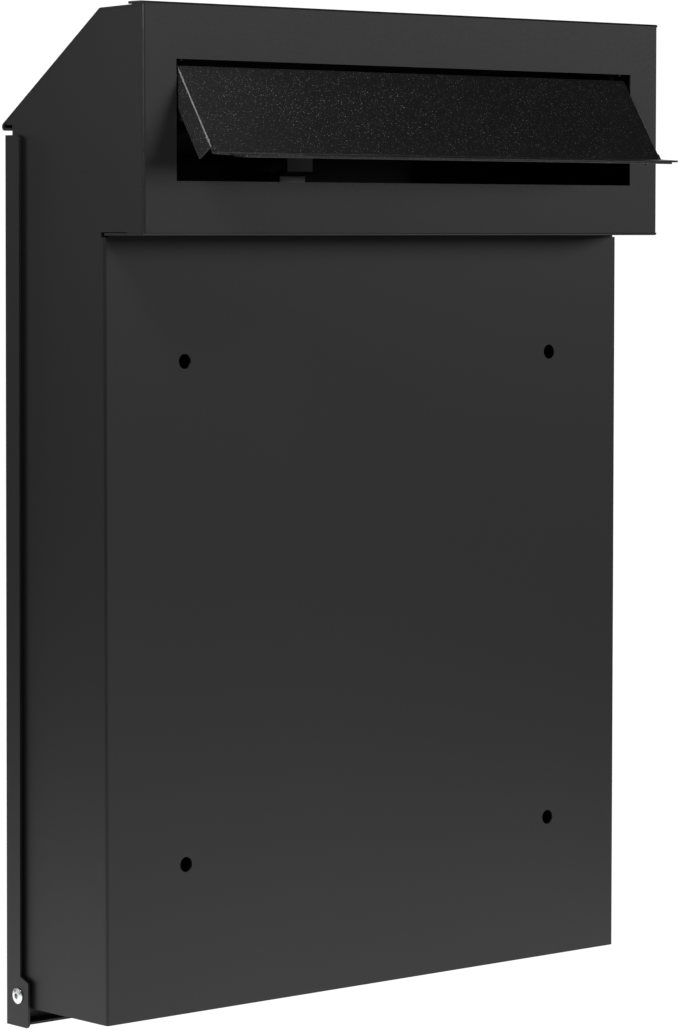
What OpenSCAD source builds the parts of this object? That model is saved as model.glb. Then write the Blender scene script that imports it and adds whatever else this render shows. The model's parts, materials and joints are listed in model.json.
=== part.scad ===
// Wall mounted mailbox of folded 1 mm steel sheet, with a letter flap and a drop-down rear door.
// Origin: centre of the four-hole pattern, on the outer face of the front panel.
// +X is to the right, -Y is the street side, +Z is up. All sizes are in millimetres.

/* [Body] */
// Width across the two side walls
body_w = 280; // [260:1:320]
// Height from the floor to the top flange of the head
body_h = 399; // [380:1:440]
// Depth from the front panel to the rear edge of the side walls
body_d = 59; // [55:1:80]
// Thickness of every steel sheet
sheet = 1; // [0.8:0.1:1.2]
// Inner radius of the folds
fold_r = 0.1; // [0.1:0.1:0.6]

/* [Head] */
// How far the head stands in front of the front panel
head_out = 24.5; // [20:0.5:40]
// Height of the head's front face
head_h = 89.5; // [85:0.5:100]
// Length of the head's top flange, which laps over the roof
top_lap = 9; // [6:0.5:12]
// Width of the letter slot
slot_w = 247.4; // [236:0.2:250]
// Height of the letter slot
slot_h = 46.8; // [40:0.2:50]
// Lower edge of the letter slot above the head's lower edge
slot_up = 21; // [16:0.5:24]

/* [Roof] */
// Fall of the sloping roof in degrees
roof_angle = 34.6; // [30:0.2:38]
// Rear end of the nearly level part of the roof
roof_break = 2.5; // [0:0.5:8]
// Depth of the rear lip that folds back under the roof
lip_return = 17.4; // [16:0.2:17.6]
// Depth of the catch flange, which hangs from the rear lip
catch_drop = 8; // [4:0.5:9]
// Underside of the rear lip above the floor
lip_z = 351.1; // [345:0.1:352]

/* [Wall fixing] */
// Distance between the holes, both ways
hole_pitch = 200; // [160:5:220]
// Height of the lower holes above the floor
hole_low = 60; // [50:1:80]
// Diameter of the fixing holes
hole_d = 6; // [5:0.5:8]

/* [Flap] */
// Width of the flap over its side flanges
flap_w = 244; // [230:0.5:245]
// Length of the flap plate from its top edge to the fold of its lip
flap_len = 40; // [36:0.5:42]
// Length of the lip
flap_lip = 12.5; // [8:0.5:14]
// Thickness of the flap's sheet
flap_t = 0.75; // [0.6:0.05:1]
// Depth of the side flanges
flap_flange = 8.5; // [7:0.5:9]
// Opening angle at rest
flap_rest = 33.2; // [0:0.2:60]

/* [Door] */
// Width over the door's side flanges
door_w = 284.4; // [284:0.2:286]
// Outer face of the door behind the front panel
door_y = 63.6; // [63:0.1:64.5]
// How far the closed door leans towards the body, in degrees
door_lean = 0.36; // [0:0.02:0.4]
// Top edge of the door above the floor
door_top = 349.2; // [330:0.2:350]
// Lower edge of the door below the floor
door_drop = 7.8; // [7.5:0.1:8.5]
// Depth of the side flanges
door_flange = 9.6; // [9:0.2:10]
// Depth of the top flange
door_top_flange = 8; // [6:0.5:8]
// Depth of the bottom flange, whose edge stops the door when it is open
door_stop = 9; // [8.6:0.1:9.2]

/* [Lock] */
// Lock axis below the top edge of the door
lock_down = 24.2; // [22:0.2:30]
// Reach of the cam from the lock axis
cam_reach = 25.4; // [22:0.1:25.6]
// Width of the cam's tongue
cam_w = 14; // [12:0.5:16]

/* [Hidden] */

$fn = 48;
coat = [0.17, 0.17, 0.18];
steel = [0.72, 0.72, 0.74];
zinc = [0.80, 0.80, 0.82];
black_zinc = [0.22, 0.22, 0.23];
brass = [0.78, 0.64, 0.34];

arc_steps = 8;                              // facets along one fold
over = 1;                                   // how far a cut passes the faces it cuts
fit_gap = 0.1;                              // clearance round fixed parts
half_w = body_w / 2;
base_z = -(hole_low + hole_pitch / 2);      // floor level in the part's frame
fold_out = fold_r + sheet;                  // outer radius of the folds
head_y = -head_out;
head_z = body_h - head_h;
slot_z = head_z + slot_up;
slot_top = slot_z + slot_h;

roof_z = body_h - sheet - 0.05;             // top of the roof at its front end
roof_break_z = roof_z - 0.65;
roof_front = head_y + fold_out + fit_gap;
roof_run = (roof_break_z - lip_z) / tan(roof_angle);
roof_fold_r = 0.6;                          // inner radius of the roof's folds
catch_y = roof_break + roof_run - lip_return;
roof_path = [[catch_y, lip_z - catch_drop],
             [catch_y, lip_z],
             [roof_break + roof_run, lip_z],
             [roof_break, roof_break_z],
             [roof_front, roof_z]];
wing_gap = 2.2;                             // side walls end this far above the rear lip
seam_gap = 0.3;                             // open seam between side wall and head underside
seam_len = 14;

relief = fold_out + 1;                      // square notch where the front fold ends
relief_h = 0.7;

flap_pin_y = head_y + 4;                    // flap hinge axis
flap_pin_z = slot_z + 40.3;
flap_pin_r = 1;
flap_pin_head = 2.6;
flap_top = flap_pin_z + 2.15;
flap_fold = flap_top - flap_len;
flap_lip_angle = 53.3;                      // lip turned out from the plate
flap_skip = 2.6;                            // side flanges end this far above the lip fold
flap_x = flap_w / 2;
hem_x = flap_x - 5.5;                       // the lip's front edge is hemmed between its corners
hem_depth = 6;
lip_nose = flap_t - flap_lip;               // end of the lip's upper face, in the lip's frame
lip_clip = 2;
bracket_x = flap_x - 2;                     // outer face of the hinge brackets
bracket_low = slot_z + 23.1;
bracket_rear = head_y + 12.5;
bracket_top = slot_top + 13;

pivot_y = body_d - 3.6;                     // door hinge axis
pivot_z = 4.6;
rivet_r = 1.6;
run_gap = 0.05;                             // radial clearance of the hinge fits
door_x = door_w / 2;
ear_y = door_y - 14.9;                      // front edge of the hinge ears
ear_top = 10.4;
ear_rise = 2.2;                             // rise of the ear's sloping top edge

lock_z = door_top - lock_down;
barrel_r = 9;
barrel_flat = 8;                            // half the distance between the flats
barrel_end = door_y - 7.5;
plug_r = 5.5;
tang = 3;                                   // half the width of the plug's square tang
washer_t = 0.7;
cam_t = 1.8;
cam_y = barrel_end - washer_t - fit_gap - cam_t; // front face of the cam's hub
cam_crank = 4.9;
crank_z = 11;                               // the cam's crank above the lock axis
bezel_t = 2.4;
screw_r = 1.5;
screw_len = 3;
wafer_t = 0.6;
wafer_pitch = 1.3;
wafer_count = 5;

// ---- helpers -------------------------------------------------------------------------------

function heading(a, b) = atan2(b[1] - a[1], b[0] - a[0]);
function unit(a) = [cos(a), sin(a)];
function left(a) = [-sin(a), cos(a)];
function turn(a) = a > 180 ? a - 360 : a < -180 ? a + 360 : a;

// Points of one side of a folded strip. side is 0 on the path and 1 one thickness t to its left.
function strip_side(path, side, t, r) = [
    for (i = [0:len(path) - 1])
        let (first = i == 0,
             last = i == len(path) - 1,
             a0 = first ? heading(path[0], path[1]) : heading(path[i - 1], path[i]),
             a1 = last ? a0 : heading(path[i], path[i + 1]),
             bend = turn(a1 - a0),
             sign_b = bend > 0 ? 1 : -1,
             path_r = bend > 0 ? r + t : r,
             side_r = bend > 0 ? r + t - side * t : r + side * t,
             centre = path[i] - unit(a0) * path_r * tan(abs(bend) / 2)
                      + left(a0) * path_r * sign_b)
        each (first || last)
            ? [path[i] + left(a0) * side * t]
            : [for (k = [0:arc_steps])
                  centre - left(a0 + bend * k / arc_steps) * side_r * sign_b]
];

function reversed(list) = [for (i = [len(list) - 1:-1:0]) list[i]];

// Outline of a strip of sheet folded along a path, with the sheet on the path's left.
module strip(path, t = sheet, r = fold_r) {
    polygon(concat(strip_side(path, 0, t, r), reversed(strip_side(path, 1, t, r))));
}

// An outline given in Y and Z, extruded from x0 to x1.
module along_x(x0, x1) {
    translate([x0, 0, 0])
        rotate([90, 0, 90])
            linear_extrude(x1 - x0) children();
}

// An outline given in X and Y, extruded from z0 to z1.
module along_z(z0, z1) {
    translate([0, 0, z0]) linear_extrude(z1 - z0) children();
}

module block(low, high) {
    translate(low) cube(high - low);
}

// A round bar along X, from x0 to x1.
module bar_x(x0, x1, y, z, r) {
    translate([x0, y, z]) rotate([0, 90, 0]) cylinder(h = x1 - x0, r = r);
}

// A round bar along Y, from y0 to y1, centred on the lock axis.
module bar_y(y0, y1, r) {
    translate([0, y0, lock_z]) rotate([-90, 0, 0]) cylinder(h = y1 - y0, r = r);
}

module both_sides() {
    children();
    mirror([1, 0, 0]) children();
}

module right_hand() {
    mirror([1, 0, 0]) children();
}

// Everything is drawn from the floor up, then set in the part's frame.
module placed() {
    translate([0, 0, base_z]) children();
}

// The closed door and all that it carries lean about the door's hinge.
module on_door() {
    placed() translate([0, pivot_y, pivot_z]) rotate([door_lean, 0, 0])
        translate([0, -pivot_y, -pivot_z]) children();
}

// The corner where a roof fold would be, one sheet inside its outer faces.
function inner_corner(p, a0, a1) = p + (left(a0) + left(a1)) * sheet / (1 + left(a0) * left(a1));

// ---- body ----------------------------------------------------------------------------------

slope_a = heading(roof_path[2], roof_path[3]);
level_a = heading(roof_path[3], roof_path[4]);
under_break = inner_corner(roof_path[3], slope_a, level_a);
under_front = roof_path[4] + left(level_a) * sheet;
wing_z = lip_z + wing_gap;
wing_slope_y = under_break[0] + (under_break[1] - wing_z) / tan(roof_angle);
wing_y = wing_slope_y - 1.6;                 // the wing's tip is cut square
wing_y_z = under_break[1] - (wing_y - under_break[0]) * tan(roof_angle);
heel_r = 2;                                 // lower rear corner of the side walls
turn_in = fold_out + fit_gap;               // the head's front turns the corner this far

module side_wall_outline() {
    polygon(concat(
        [[fold_out, 0]],
        [for (k = [0:arc_steps])
            [body_d - heel_r, heel_r] + heel_r * unit(-90 + 90 * k / arc_steps)],
        [[body_d, wing_z], [wing_y, wing_z], [wing_y, wing_y_z],
         under_break, [head_y + turn_in, under_front[1]],
         [head_y + turn_in, head_z + sheet],
         [-seam_len, head_z + sheet],
         [-seam_len, head_z + sheet + seam_gap],
         [relief, head_z + sheet + seam_gap],
         [relief, head_z - relief_h],
         [fold_out, head_z - relief_h]]));
}

module fixing_holes() {
    for (x = [-1, 1], row = [0, 1])
        translate([x * hole_pitch / 2, -sheet, hole_low + row * hole_pitch])
            rotate([-90, 0, 0]) cylinder(h = 3 * sheet, d = hole_d);
}

module body_shell() {
    color(coat) placed() difference() {
        union() {
            along_z(0, head_z - relief_h)
                strip([[-half_w, relief + 1], [-half_w, 0], [half_w, 0], [half_w, relief + 1]]);
            block([-half_w + relief, 0, 0], [half_w - relief, sheet, head_z]);
            both_sides() along_x(-half_w, -half_w + sheet) side_wall_outline();
        }
        fixing_holes();
        bar_x(-half_w - over, half_w + over, pivot_y, pivot_z, rivet_r);
    }
}

module head_front() {
    color(coat) placed() difference() {
        union() {
            difference() {
                along_x(-half_w, half_w)
                    strip([[head_y + top_lap, body_h], [head_y, body_h],
                           [head_y, head_z], [sheet, head_z]]);
                both_sides()
                    block([-half_w - over, head_y - over, head_z + fold_out],
                          [-half_w + fold_out, head_y + turn_in, body_h - fold_out]);
            }
            along_z(head_z + fold_out, body_h - fold_out)
                strip([[-half_w, head_y + turn_in], [-half_w, head_y],
                       [half_w, head_y], [half_w, head_y + turn_in]]);
        }
        block([-slot_w / 2, head_y - over, slot_z],
              [slot_w / 2, head_y + sheet + over, slot_top]);
        both_sides()
            block([-half_w - over, 0, head_z - over],
                  [-half_w + relief, sheet + over, head_z + sheet + over]);
    }
}

module roof() {
    cam_notch = cam_w / 2 + 0.6;
    lip_gap = 0.2;                          // between the lip's ends and the side walls
    catch_low = lip_z - catch_drop - over;
    color(coat) placed() difference() {
        along_x(-half_w, half_w) strip(roof_path, r = roof_fold_r);
        // the rear lip is notched to pass between the side walls
        both_sides()
            block([-half_w - over, catch_y - 2 * sheet, catch_low],
                  [-half_w + sheet + lip_gap, body_d + 0.3, lip_z + sheet + 0.5]);
        // the catch flange leaves room for the cam
        block([-cam_notch, catch_y - 2 * sheet, catch_low],
              [cam_notch, catch_y + roof_fold_r, lip_z + sheet + over]);
    }
}

module floor_pan() {
    floor_x = half_w - sheet;
    front_flange = 12;
    side_flange = 10;
    side_end = pivot_y - 11.4;              // the side flanges end in front of the rivets
    color(coat) placed() union() {
        along_x(-floor_x, floor_x)
            strip([[sheet, front_flange], [sheet, 0], [pivot_y + 2, 0]]);
        both_sides()
            block([-floor_x, sheet + fold_out, 0], [-floor_x + sheet, side_end, side_flange]);
    }
}

// ---- letter flap ---------------------------------------------------------------------------

// A folded bracket behind the head's front, whose web carries the flap's pin in an eye.
module flap_bracket() {
    web_y = head_y + 1.7;                   // front edge below the eye
    web_top = flap_pin_z - 2.8;
    neck_y = flap_pin_y + flap_pin_head;    // front edge behind the flap's flange
    eye_r = flap_pin_head;
    crown_y = head_y + fold_out + sheet;
    crown_z = flap_pin_z + 5.8;             // above the flap's upper edge
    tab_z = slot_top + 2;
    tab_w = 14;
    color(coat) placed() difference() {
        union() {
            along_x(-bracket_x, -bracket_x + sheet) {
                translate([web_y, bracket_low])
                    square([bracket_rear - web_y, web_top - bracket_low]);
                translate([neck_y, bracket_low])
                    square([bracket_rear - neck_y, bracket_top - bracket_low]);
                translate([flap_pin_y, flap_pin_z]) circle(r = eye_r);
                translate([flap_pin_y, flap_pin_z - eye_r])
                    square([bracket_rear - flap_pin_y, 2 * eye_r]);
                translate([crown_y, crown_z])
                    square([bracket_rear - crown_y, bracket_top - crown_z]);
            }
            along_z(tab_z, bracket_top)
                strip([[-bracket_x, bracket_rear],
                       [-bracket_x, head_y + sheet],
                       [-bracket_x + tab_w, head_y + sheet]]);
        }
        bar_x(-bracket_x - over, -bracket_x + sheet + over, flap_pin_y, flap_pin_z, flap_pin_r);
    }
}

module left_flap_bracket() { flap_bracket(); }
module right_flap_bracket() { right_hand() flap_bracket(); }

// A shouldered pin: head outside the flap's flange, riveted over inside the bracket.
module flap_pin() {
    head_x = -flap_x - 0.2;
    head_t = 1.2;
    upset_x = -bracket_x + sheet;
    upset_t = 0.8;
    upset_r = 1.7;
    color(steel) placed() {
        bar_x(head_x - head_t / 2, upset_x + upset_t, flap_pin_y, flap_pin_z, flap_pin_r);
        bar_x(head_x - head_t, head_x, flap_pin_y, flap_pin_z, flap_pin_head);
        bar_x(upset_x, upset_x + upset_t, flap_pin_y, flap_pin_z, upset_r);
    }
}

module left_flap_pin() { flap_pin(); }
module right_flap_pin() { right_hand() flap_pin(); }

// The lip's own frame: x across, y towards the fold, z out of the lip's upper face.
module in_lip() {
    translate([0, head_y, flap_fold]) rotate([90 - flap_lip_angle, 0, 0]) children();
}

// What clips a corner of the lip.
module lip_corner() {
    slope = (flap_x - hem_x) / lip_clip;
    side = -flap_x - over * slope;
    translate([0, 0, -2 * over]) linear_extrude(3 * over)
        polygon([[side, lip_nose + lip_clip + over], [side, lip_nose - over],
                 [-hem_x + over * slope, lip_nose - over]]);
}

// The hem under the lip's front edge.
module lip_hem() {
    hem_r = flap_t - 0.02;
    along_x(-hem_x + 0.05, hem_x - 0.05) {
        translate([lip_nose + 0.01, -flap_t]) circle(r = hem_r);
        translate([lip_nose + 0.01, -flap_t - hem_r]) square([hem_depth, flap_t]);
    }
}

// The flap as it hangs when shut.
module flap_closed() {
    lip_fold_r = 0.3;
    difference() {
        union() {
            along_z(flap_fold + flap_skip, flap_top)
                strip([[-flap_x, head_y + flap_flange], [-flap_x, head_y],
                       [flap_x, head_y], [flap_x, head_y + flap_flange]], flap_t);
            along_x(-flap_x, flap_x)
                strip([[head_y, flap_fold + flap_skip], [head_y, flap_fold],
                       [head_y + lip_nose * sin(flap_lip_angle),
                        flap_fold + lip_nose * cos(flap_lip_angle)]], flap_t, lip_fold_r);
            in_lip() lip_hem();
        }
        in_lip() both_sides() lip_corner();
        bar_x(-flap_x - over, flap_x + over, flap_pin_y, flap_pin_z, flap_pin_r + run_gap);
    }
}

module flap() {
    color(coat) placed()
        translate([0, flap_pin_y, flap_pin_z])
            rotate([-flap_rest, 0, 0])
                translate([0, -flap_pin_y, -flap_pin_z]) flap_closed();
}

// ---- rear door -----------------------------------------------------------------------------

module ear_outline() {
    polygon([[door_y - fold_out, -door_drop], [ear_y + 1, -door_drop], [ear_y, 1 - door_drop],
             [ear_y, ear_top], [door_y - door_flange + 0.1, ear_top + ear_rise],
             [door_y - fold_out, ear_top + ear_rise]]);
}

// The door's face and side flanges, with the ends that the other flanges take cut away.
module door_face(top_x, bottom_x) {
    difference() {
        along_z(-door_drop, door_top)
            strip([[door_x, door_y - door_flange], [door_x, door_y],
                   [-door_x, door_y], [-door_x, door_y - door_flange]]);
        block([-bottom_x, door_y - sheet - over, -door_drop - over],
              [bottom_x, door_y + over, fold_out - door_drop]);
        block([-top_x, door_y - sheet - over, door_top - fold_out],
              [top_x, door_y + over, door_top + over]);
    }
}

// Rounds the upper front corner of a side flange.
module flange_corner(r) {
    translate([door_y - door_flange, door_top - r]) difference() {
        translate([-over, 0]) square([r + over, r + over]);
        translate([r, 0]) circle(r = r);
    }
}

module rear_door() {
    top_x = half_w - 2.5;                   // the top flange lies between the side walls
    bottom_x = door_x - relief;
    fold_stub = 3;                          // length of door face drawn with each flange
    color(coat) on_door() difference() {
        union() {
            door_face(top_x, bottom_x);
            along_x(-bottom_x, bottom_x)
                strip([[door_y - door_stop, -door_drop], [door_y, -door_drop],
                       [door_y, fold_stub - door_drop]]);
            along_x(-top_x, top_x)
                strip([[door_y, door_top - fold_stub], [door_y, door_top],
                       [door_y - door_top_flange, door_top]]);
            both_sides() along_x(-door_x, -door_x + sheet) ear_outline();
        }
        both_sides() along_x(-door_x - over, -door_x + fold_out) flange_corner(2.5);
        bar_x(-door_x - over, door_x + over, pivot_y, pivot_z, rivet_r + run_gap);
        flatted_bar(door_y - sheet - over, door_y + over, fit_gap);
    }
}

// Blind rivet: low domed head outside the ear, hollow where its mandrel broke off.
module door_rivet() {
    head_r = 3.25;
    head_h = 1;
    dome_r = 8;
    head_x = -door_x - fit_gap;
    inside_x = -half_w + sheet;
    upset_r = 2.5;
    upset_h = 3;
    mandrel_r = 1.05;
    mandrel_depth = 1.6;
    color(zinc) placed() difference() {
        union() {
            bar_x(head_x, inside_x + upset_h, pivot_y, pivot_z, rivet_r);
            intersection() {
                bar_x(head_x - head_h, head_x, pivot_y, pivot_z, head_r);
                translate([head_x - head_h + dome_r, pivot_y, pivot_z]) sphere(r = dome_r);
            }
            bar_x(inside_x, inside_x + upset_h, pivot_y, pivot_z, upset_r);
        }
        bar_x(head_x - head_h - over, head_x + mandrel_depth, pivot_y, pivot_z, mandrel_r);
    }
}

module left_door_rivet() { door_rivet(); }
module right_door_rivet() { right_hand() door_rivet(); }

module door_washer() {
    washer_r = 3.5;
    outer_x = -door_x + sheet + fit_gap / 2;
    inner_x = -half_w - fit_gap / 2;
    color(steel) placed() difference() {
        bar_x(outer_x, inner_x, pivot_y, pivot_z, washer_r);
        bar_x(outer_x - over, inner_x + over, pivot_y, pivot_z, rivet_r + run_gap);
    }
}

module left_door_washer() { door_washer(); }
module right_door_washer() { right_hand() door_washer(); }

// ---- cam lock ------------------------------------------------------------------------------

plug_face = door_y + bezel_t + 0.3;
wafer_first = barrel_end + 2.2;

// The lock's barrel: round, with two flats, and wider all round by spare.
module flatted_bar(y0, y1, spare = 0) {
    half = barrel_flat + spare;
    intersection() {
        bar_y(y0, y1, barrel_r + spare);
        block([-half, y0 - over, lock_z - 2 * barrel_r], [half, y1 + over, lock_z + 2 * barrel_r]);
    }
}

// A hole or bar of square section, half wide each way, along the lock axis.
module square_y(y0, y1, half) {
    block([-half, y0, lock_z - half], [half, y1, lock_z + half]);
}

module lock_housing() {
    bezel_r = 11;
    bezel_edge = 0.8;                       // depth of the bezel's chamfer
    bezel_in = 1.4;                         // width of the bezel's chamfer
    color(zinc) on_door() difference() {
        union() {
            flatted_bar(barrel_end, door_y + 0.5);
            bar_y(door_y, door_y + bezel_t - bezel_edge, bezel_r);
            translate([0, door_y + bezel_t - bezel_edge, lock_z]) rotate([-90, 0, 0])
                cylinder(h = bezel_edge, r1 = bezel_r, r2 = bezel_r - bezel_in);
        }
        bar_y(barrel_end - over, door_y + bezel_t + over, plug_r + run_gap);
    }
}

module lock_nut() {
    nut_t = 3;
    nut_r = 12.7;
    color(zinc) on_door() difference() {
        translate([0, door_y - sheet - nut_t, lock_z])
            rotate([-90, 0, 0]) cylinder(h = nut_t, r = nut_r, $fn = 6);
        bar_y(door_y - sheet - nut_t - over, door_y, barrel_r);
    }
}

module lock_plug() {
    keyway_w = 1.8;
    keyway_h = 6.4;
    slit_x = 2.6;
    slit_z = 4.1;
    slit_gap = 0.05;
    color(zinc) on_door() difference() {
        union() {
            bar_y(barrel_end, plug_face, plug_r);
            // square tang that carries the stop washer and the cam
            square_y(cam_y, barrel_end + 0.5, tang);
        }
        block([-keyway_w / 2, barrel_end + 1.4, lock_z - keyway_h / 2],
              [keyway_w / 2, plug_face + over, lock_z + keyway_h / 2]);
        for (i = [0:wafer_count - 1], y = [wafer_first + i * wafer_pitch])
            block([-slit_x, y - slit_gap, lock_z - slit_z],
                  [slit_x, y + wafer_t + slit_gap, lock_z + slit_z]);
        bar_y(cam_y - over, cam_y + screw_len + 0.2, screw_r);
    }
}

// Brass wafers in the plug, each with a window for the key.
module lock_wafers() {
    color(brass) on_door()
        for (i = [0:wafer_count - 1])
            translate([0, wafer_first + i * wafer_pitch, lock_z]) difference() {
                translate([-2.5, 0, -4]) cube([5, wafer_t, 8]);
                translate([-0.8, -over, -2.6]) cube([1.6, wafer_t + 2 * over, 5]);
            }
}

module stop_washer() {
    washer_r = 7.5;
    stop_w = 5;
    stop_reach = 9;
    color(black_zinc) on_door() difference() {
        union() {
            bar_y(cam_y + cam_t, barrel_end - fit_gap, washer_r);
            block([-stop_w / 2, cam_y + cam_t, lock_z - stop_reach],
                  [stop_w / 2, barrel_end - fit_gap, lock_z]);
        }
        square_y(cam_y, barrel_end + over, tang);
    }
}

// Cranked cam: a round hub and a tongue set nearer the street.
module lock_cam() {
    hub_r = 8;
    rear_y = cam_y + cam_t;
    tongue_y = cam_y - cam_crank;
    crank_top = lock_z + crank_z;
    cam_top = lock_z + cam_reach;
    color(black_zinc) on_door() difference() {
        union() {
            bar_y(cam_y, rear_y, hub_r);
            along_x(-cam_w / 2, cam_w / 2)
                polygon([[cam_y, lock_z], [rear_y, lock_z], [rear_y, crank_top],
                         [tongue_y + cam_t, crank_top + cam_t], [tongue_y + cam_t, cam_top],
                         [tongue_y, cam_top], [tongue_y, crank_top], [cam_y, crank_top - cam_t]]);
        }
        square_y(cam_y - over, rear_y + over, tang);
    }
}

module cam_screw() {
    head_t = 2.2;
    head_r = 5;
    cross_depth = 0.8;
    cross_w = 1;
    front_y = cam_y - head_t;
    color(black_zinc) on_door() difference() {
        union() {
            bar_y(cam_y, cam_y + screw_len, screw_r);
            bar_y(front_y, cam_y, head_r);
        }
        block([-cross_w / 2, front_y - over, lock_z - head_r - over],
              [cross_w / 2, front_y + cross_depth, lock_z + head_r + over]);
        block([-head_r - over, front_y - over, lock_z - cross_w / 2],
              [head_r + over, front_y + cross_depth, lock_z + cross_w / 2]);
    }
}

// ---- nodes ---------------------------------------------------------------------------------

body_shell();
head_front();
roof();
floor_pan();
left_flap_bracket();
right_flap_bracket();
left_flap_pin();
right_flap_pin();
flap();
rear_door();
left_door_rivet();
right_door_rivet();
left_door_washer();
right_door_washer();
lock_housing();
lock_nut();
lock_plug();
lock_wafers();
stop_washer();
lock_cam();
cam_screw();
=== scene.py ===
"""Wall mounted mailbox: satin black powder coat, bright rivets and pins, soft studio light."""

import json
import math

import bpy
from mathutils import Euler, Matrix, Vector


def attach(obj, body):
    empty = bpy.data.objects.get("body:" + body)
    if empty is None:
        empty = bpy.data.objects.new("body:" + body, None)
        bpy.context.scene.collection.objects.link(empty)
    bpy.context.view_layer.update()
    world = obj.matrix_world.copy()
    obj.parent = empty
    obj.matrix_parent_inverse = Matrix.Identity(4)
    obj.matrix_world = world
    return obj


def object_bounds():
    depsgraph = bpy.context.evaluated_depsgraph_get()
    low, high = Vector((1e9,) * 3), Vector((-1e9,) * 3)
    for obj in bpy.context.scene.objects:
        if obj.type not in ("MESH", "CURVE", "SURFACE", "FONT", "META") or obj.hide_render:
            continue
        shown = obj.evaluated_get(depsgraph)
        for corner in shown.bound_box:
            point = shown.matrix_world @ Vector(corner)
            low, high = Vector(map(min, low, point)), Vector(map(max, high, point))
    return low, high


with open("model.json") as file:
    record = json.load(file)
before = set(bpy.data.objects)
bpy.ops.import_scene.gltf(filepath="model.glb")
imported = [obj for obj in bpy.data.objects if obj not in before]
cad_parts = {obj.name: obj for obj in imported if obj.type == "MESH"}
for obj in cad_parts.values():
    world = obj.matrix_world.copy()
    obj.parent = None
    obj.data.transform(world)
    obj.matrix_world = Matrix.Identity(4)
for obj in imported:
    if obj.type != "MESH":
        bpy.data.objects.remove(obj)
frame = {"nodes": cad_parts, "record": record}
cad_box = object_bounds()
MM = 0.001


# ---- node helpers --------------------------------------------------------------------------

def new_material(name):
    """A material with an empty node tree, and that tree."""
    material = bpy.data.materials.new(name)
    material.use_nodes = True
    material.node_tree.nodes.clear()
    return material, material.node_tree


def add(tree, kind, inputs=None, **settings):
    """A node of that kind, with its settings. An input is a value, or an output to link."""
    node = tree.nodes.new(kind)
    for name, value in settings.items():
        setattr(node, name, value)
    for name, value in (inputs or {}).items():
        if isinstance(value, bpy.types.NodeSocket):
            tree.links.new(value, node.inputs[name])
        else:
            node.inputs[name].default_value = value
    return node


def ramp(tree, factor, stops):
    """A colour ramp's colour output, from (position, grey) stops."""
    node = add(tree, "ShaderNodeValToRGB", {"Fac": factor})
    elements = node.color_ramp.elements
    while len(elements) < len(stops):
        elements.new(0.5)
    for element, (position, grey) in zip(elements, stops):
        element.position = position
        element.color = (grey, grey, grey, 1)
    return node.outputs["Color"]


def noise(tree, scale, detail=2.0, roughness=0.5):
    """Noise in the object's own metres: scale is in features per metre."""
    place = add(tree, "ShaderNodeTexCoord").outputs["Object"]
    node = add(tree, "ShaderNodeTexNoise",
               {"Vector": place, "Scale": scale, "Detail": detail, "Roughness": roughness})
    return node.outputs["Fac"]


def finish_material(tree, shader):
    """Links the shader to the material's output."""
    add(tree, "ShaderNodeOutputMaterial", {"Surface": shader.outputs["BSDF"]})


CAMERA_WHITE = 1.05       # strength of the white that only the camera's own rays see


def white_to_camera(tree, others, white, output):
    """Ends a tree of that output kind: white to the camera's own rays, others to the rest."""
    seen = add(tree, "ShaderNodeLightPath").outputs["Is Camera Ray"]
    mixed = add(tree, "ShaderNodeMixShader", {"Fac": seen})
    tree.links.new(others, mixed.inputs[1])
    tree.links.new(white, mixed.inputs[2])
    add(tree, output, {"Surface": mixed.outputs["Shader"]})


# ---- materials -----------------------------------------------------------------------------

COAT_GREY = 0.0055
CLOUD_SCALE = 9           # features per metre, as for the other scales
GLINT_SCALE = 2300
DIMPLE_SCALE = 1500
DIMPLE_DEPTH = 0.12 * MM
DIMPLE_STRENGTH = 0.25
MARK_SCALE = 1500
MARK_DEPTH = 0.05 * MM
MARK_STRENGTH = 0.15
MARK_SHADE = 0.86         # how dark the marks are beside the metal's tint


def powder_coat(name, glint_grey=None):
    """Fine-textured satin black powder coat. The optional last argument is the grey of rare light
    specks painted into its colour as glints.
    """
    material, tree = new_material(name)
    cloud = noise(tree, CLOUD_SCALE, detail=3)
    tone = ramp(tree, cloud, [(0.3, COAT_GREY * 0.9), (0.7, COAT_GREY * 1.15)])
    if glint_grey:
        # painted glints: rare specks lighter than the coat, painted into its colour where its
        # grains would catch the light
        painted_glints = ramp(tree, noise(tree, GLINT_SCALE, detail=1),
                      [(0.67, COAT_GREY), (0.72, glint_grey)])
        tone = add(tree, "ShaderNodeMixRGB", {"Fac": 1.0, "Color1": tone, "Color2": painted_glints},
                   blend_type="LIGHTEN").outputs["Color"]
    dimples = noise(tree, DIMPLE_SCALE, detail=2, roughness=0.6)
    rough = ramp(tree, dimples, [(0.3, 0.43), (0.7, 0.49)])
    bump = add(tree, "ShaderNodeBump",
               {"Height": dimples, "Strength": DIMPLE_STRENGTH, "Distance": DIMPLE_DEPTH})
    shader = add(tree, "ShaderNodeBsdfPrincipled",
                 {"Base Color": tone, "Roughness": rough, "Normal": bump.outputs["Normal"],
                  "IOR": 1.5})
    finish_material(tree, shader)
    return material


def bare_metal(name, tint, low, high):
    """Plated or plain metal with fine handling marks, of roughness low to high."""
    material, tree = new_material(name)
    marks = noise(tree, MARK_SCALE, detail=4, roughness=0.65)
    rough = ramp(tree, marks, [(0.3, low), (0.7, high)])
    marked = [MARK_SHADE * t for t in tint]
    shade = add(tree, "ShaderNodeMixRGB",
                {"Fac": marks, "Color1": (*marked, 1), "Color2": (*tint, 1)})
    bump = add(tree, "ShaderNodeBump",
               {"Height": marks, "Strength": MARK_STRENGTH, "Distance": MARK_DEPTH})
    shader = add(tree, "ShaderNodeBsdfPrincipled",
                 {"Base Color": shade.outputs["Color"], "Metallic": 1.0, "Roughness": rough,
                  "Normal": bump.outputs["Normal"]})
    finish_material(tree, shader)
    return material


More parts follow.
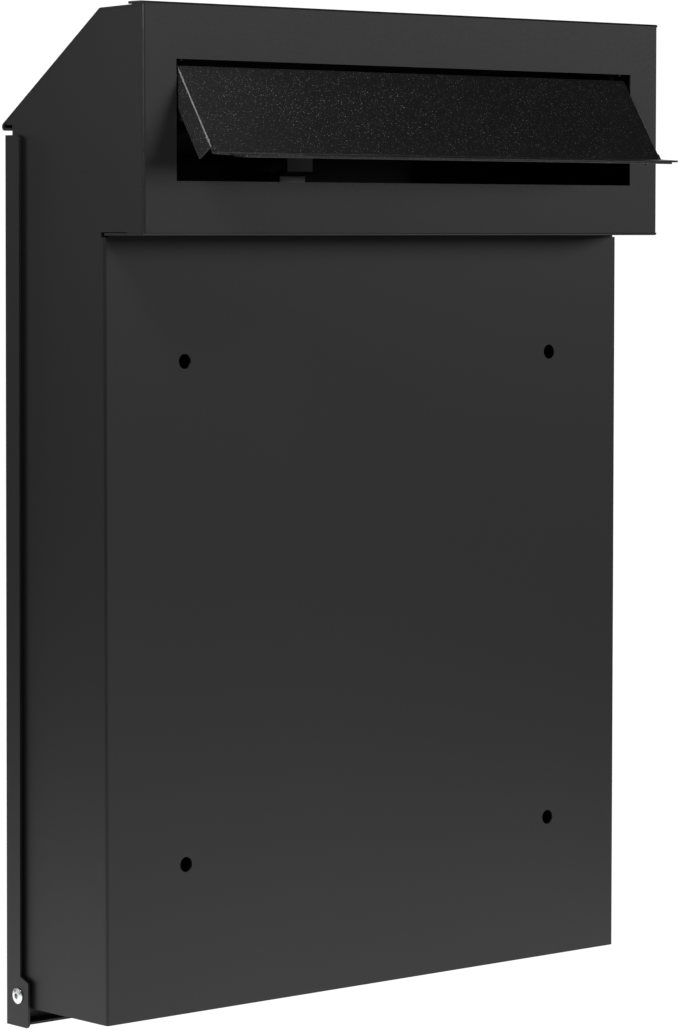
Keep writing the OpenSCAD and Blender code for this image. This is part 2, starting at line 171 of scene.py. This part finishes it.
def white_floor(name, glow_centre, glow_radius, glow):
    """Pure white where the camera sees it. Other rays see pale card, lit up round the object."""
    material, tree = new_material(name)
    dust = ramp(tree, noise(tree, 3), [(0.3, 0.76), (0.7, 0.80)])
    place = add(tree, "ShaderNodeTexCoord").outputs["Object"]
    near = add(tree, "ShaderNodeMapping",
               {"Vector": place, "Location": [-c / glow_radius for c in glow_centre],
                "Scale": [1 / glow_radius] * 3})
    fade = add(tree, "ShaderNodeTexGradient", {"Vector": near.outputs["Vector"]},
               gradient_type="SPHERICAL")
    lit = ramp(tree, fade.outputs["Fac"], [(0.0, 0.0), (0.5, 1.0)])
    card = add(tree, "ShaderNodeBsdfPrincipled",
               {"Base Color": dust, "Roughness": 0.9, "Emission Color": lit,
                "Emission Strength": glow})
    white = add(tree, "ShaderNodeEmission", {"Color": (1, 1, 1, 1), "Strength": CAMERA_WHITE})
    white_to_camera(tree, card.outputs["BSDF"], white.outputs["Emission"],
                    "ShaderNodeOutputMaterial")
    return material


slot_materials = {
    "powder_coat": powder_coat("powder_coat"),
    "bright_steel": bare_metal("bright_steel", (0.78, 0.78, 0.80), 0.18, 0.30),
    "aluminium": bare_metal("aluminium", (0.90, 0.90, 0.91), 0.20, 0.32),
    "zinc": bare_metal("zinc", (0.62, 0.62, 0.64), 0.28, 0.42),
    # this tint is far paler than black zinc: painted light, so that the lock cam looks lit inside
    # the box; the mandrel ends share it
    "black_zinc": bare_metal("black_zinc", (0.55, 0.55, 0.56), 0.32, 0.45),
    "brass": bare_metal("brass", (0.80, 0.60, 0.28), 0.25, 0.38),
}

# the flap's coat has painted glints: light specks in its colour that stand in for grains catching
# the light
own_materials = {"flap": powder_coat("flap_coat_painted_glints", glint_grey=0.32)}

# ---- CAD nodes: material, shading, rounded edges -------------------------------------------

# in millimetres
EDGE_RADIUS = {"powder_coat": 0.22, "bright_steel": 0.12, "aluminium": 0.12, "zinc": 0.15,
               "black_zinc": 0.15, "brass": 0.05}
WELD_DISTANCE = 0.002 * MM
FLAT_ANGLE = math.radians(0.5)            # faces within this of flat are merged
EDGE_ANGLE = math.radians(32)             # edges sharper than this are rounded


def dress(name, slot):
    """Gives a CAD node its material, welds its seams, and rounds its raw edges with modifiers."""
    node = frame["nodes"][name]
    node.data.materials.clear()
    node.data.materials.append(own_materials.get(name, slot_materials[slot]))
    smooth = slot != "powder_coat"          # folds of the sheets are finely faceted as they are
    node.data.polygons.foreach_set("use_smooth", [smooth] * len(node.data.polygons))
    weld = node.modifiers.new("weld", "WELD")
    weld.merge_threshold = WELD_DISTANCE
    merge = node.modifiers.new("flat_faces_in_one", "DECIMATE")
    merge.decimate_type = "DISSOLVE"
    merge.angle_limit = FLAT_ANGLE
    bevel = node.modifiers.new("edges", "BEVEL")
    bevel.width = EDGE_RADIUS[slot] * MM
    bevel.segments = 2
    bevel.limit_method = "ANGLE"
    bevel.angle_limit = EDGE_ANGLE
    bevel.miter_outer = "MITER_ARC"
    normals = node.modifiers.new("flat_faces", "WEIGHTED_NORMAL")
    normals.mode = "FACE_AREA_WITH_ANGLE"
    normals.weight = 100


for part in frame["record"]["subparts"]:
    dress(part["node"], part["material_slot"])

# ---- rivet mandrels ------------------------------------------------------------------------

RIVET_Y = 55.4 * MM                       # the door's hinge axis
RIVET_Z = -155.4 * MM
MANDREL_R = 0.98 * MM
MANDREL_X = (140.6 * MM, 141.7 * MM)      # from inside the rivet's hole to the broken end
MANDREL_EDGE = 0.2 * MM


def mandrel_end(name, side):
    """The dark broken end of the steel mandrel inside a blind rivet. side is -1 or 1."""
    inner, outer = MANDREL_X
    bpy.ops.mesh.primitive_cylinder_add(vertices=24, radius=MANDREL_R, depth=outer - inner,
                                        location=(side * (inner + outer) / 2, RIVET_Y, RIVET_Z),
                                        rotation=(0, math.radians(90), 0))
    stub = bpy.context.object
    stub.name = name
    stub.data.materials.append(slot_materials["black_zinc"])
    bevel = stub.modifiers.new("edges", "BEVEL")
    bevel.width = MANDREL_EDGE
    bevel.segments = 2
    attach(stub, "body")


mandrel_end("left_rivet_mandrel", -1)
mandrel_end("right_rivet_mandrel", 1)

# ---- camera --------------------------------------------------------------------------------

VIEW_AZIMUTH = 41.27      # degrees to the left of straight on
VIEW_DROP = 3.99          # degrees that the camera looks down
CAMERA_PLACE = Vector((-1.1115, -1.2450, 0.1511))
CAMERA_LENS = 142.08      # millimetres
CAMERA_NEAR = 0.05        # metres

camera_data = bpy.data.cameras.new("camera")
camera_data.lens = CAMERA_LENS
camera_data.clip_start = CAMERA_NEAR
camera = bpy.data.objects.new("camera", camera_data)
camera.location = CAMERA_PLACE
camera.rotation_euler = Euler((math.radians(90 - VIEW_DROP), 0, math.radians(-VIEW_AZIMUTH)))
bpy.context.scene.collection.objects.link(camera)
bpy.context.scene.camera = camera

# ---- floor ---------------------------------------------------------------------------------

FLOOR_RADIUS = 1.2
FLOOR_GAP = 0.05 * MM     # below the object's lowest point
GLOW_CENTRE = (-0.1, 0, 0)
GLOW_RADIUS = 0.75
GLOW = 0.86

floor_z = cad_box[0][2] - FLOOR_GAP
bpy.ops.mesh.primitive_circle_add(vertices=96, radius=FLOOR_RADIUS, fill_type="NGON",
                                  location=(0, 0, floor_z))
floor = bpy.context.object
floor.name = "floor"
floor.data.materials.append(white_floor("floor_white", GLOW_CENTRE, GLOW_RADIUS, GLOW))

# ---- light ---------------------------------------------------------------------------------

# name, azimuth in degrees, height and distance in metres, size in metres, power in watts
SOFTBOXES = [
    ("right_box", 48, 0.85, 4.0, (2.6, 1.0), 30),
    ("left_rear_box", -130, 0.28, 2.0, (1.2, 0.7), 2.0),
    ("rear_box", 172, 0.50, 2.0, (1.6, 1.2), 9),
    ("right_rear_box", 118, 0.50, 2.0, (1.2, 1.2), 6),
    ("top_box", -60, 1.4, 0.9, (0.8, 0.8), 1.3),
    ("near_left", -66, 0.365, 0.316, (0.08, 0.08), 1.2),
]
ROOM_LIGHT = 0.01         # strength of the world for all but the camera's own rays


def softbox(name, azimuth, height, distance, size, power):
    """A soft area light aimed at the origin. azimuth is in degrees from -Y towards +X."""
    data = bpy.data.lights.new(name, "AREA")
    data.shape = "RECTANGLE"
    data.size, data.size_y = size
    data.energy = power
    lamp = bpy.data.objects.new(name, data)
    around = math.radians(azimuth)
    lamp.location = (distance * math.sin(around), -distance * math.cos(around), height)
    lamp.rotation_euler = (-Vector(lamp.location)).to_track_quat("-Z", "Y").to_euler()
    lamp.visible_camera = False
    bpy.context.scene.collection.objects.link(lamp)


for box in SOFTBOXES:
    softbox(*box)


def studio_world():
    """White where the camera looks past the object, and a dim even room for everything else."""
    world = bpy.data.worlds.new("studio")
    world.use_nodes = True
    tree = world.node_tree
    tree.nodes.clear()
    room = add(tree, "ShaderNodeBackground", {"Color": (1, 1, 1, 1), "Strength": ROOM_LIGHT})
    white = add(tree, "ShaderNodeBackground", {"Color": (1, 1, 1, 1), "Strength": CAMERA_WHITE})
    white_to_camera(tree, room.outputs["Background"], white.outputs["Background"],
                    "ShaderNodeOutputWorld")
    bpy.context.scene.world = world


studio_world()
view = bpy.context.scene.view_settings
view.view_transform = "Standard"
view.look = "None"
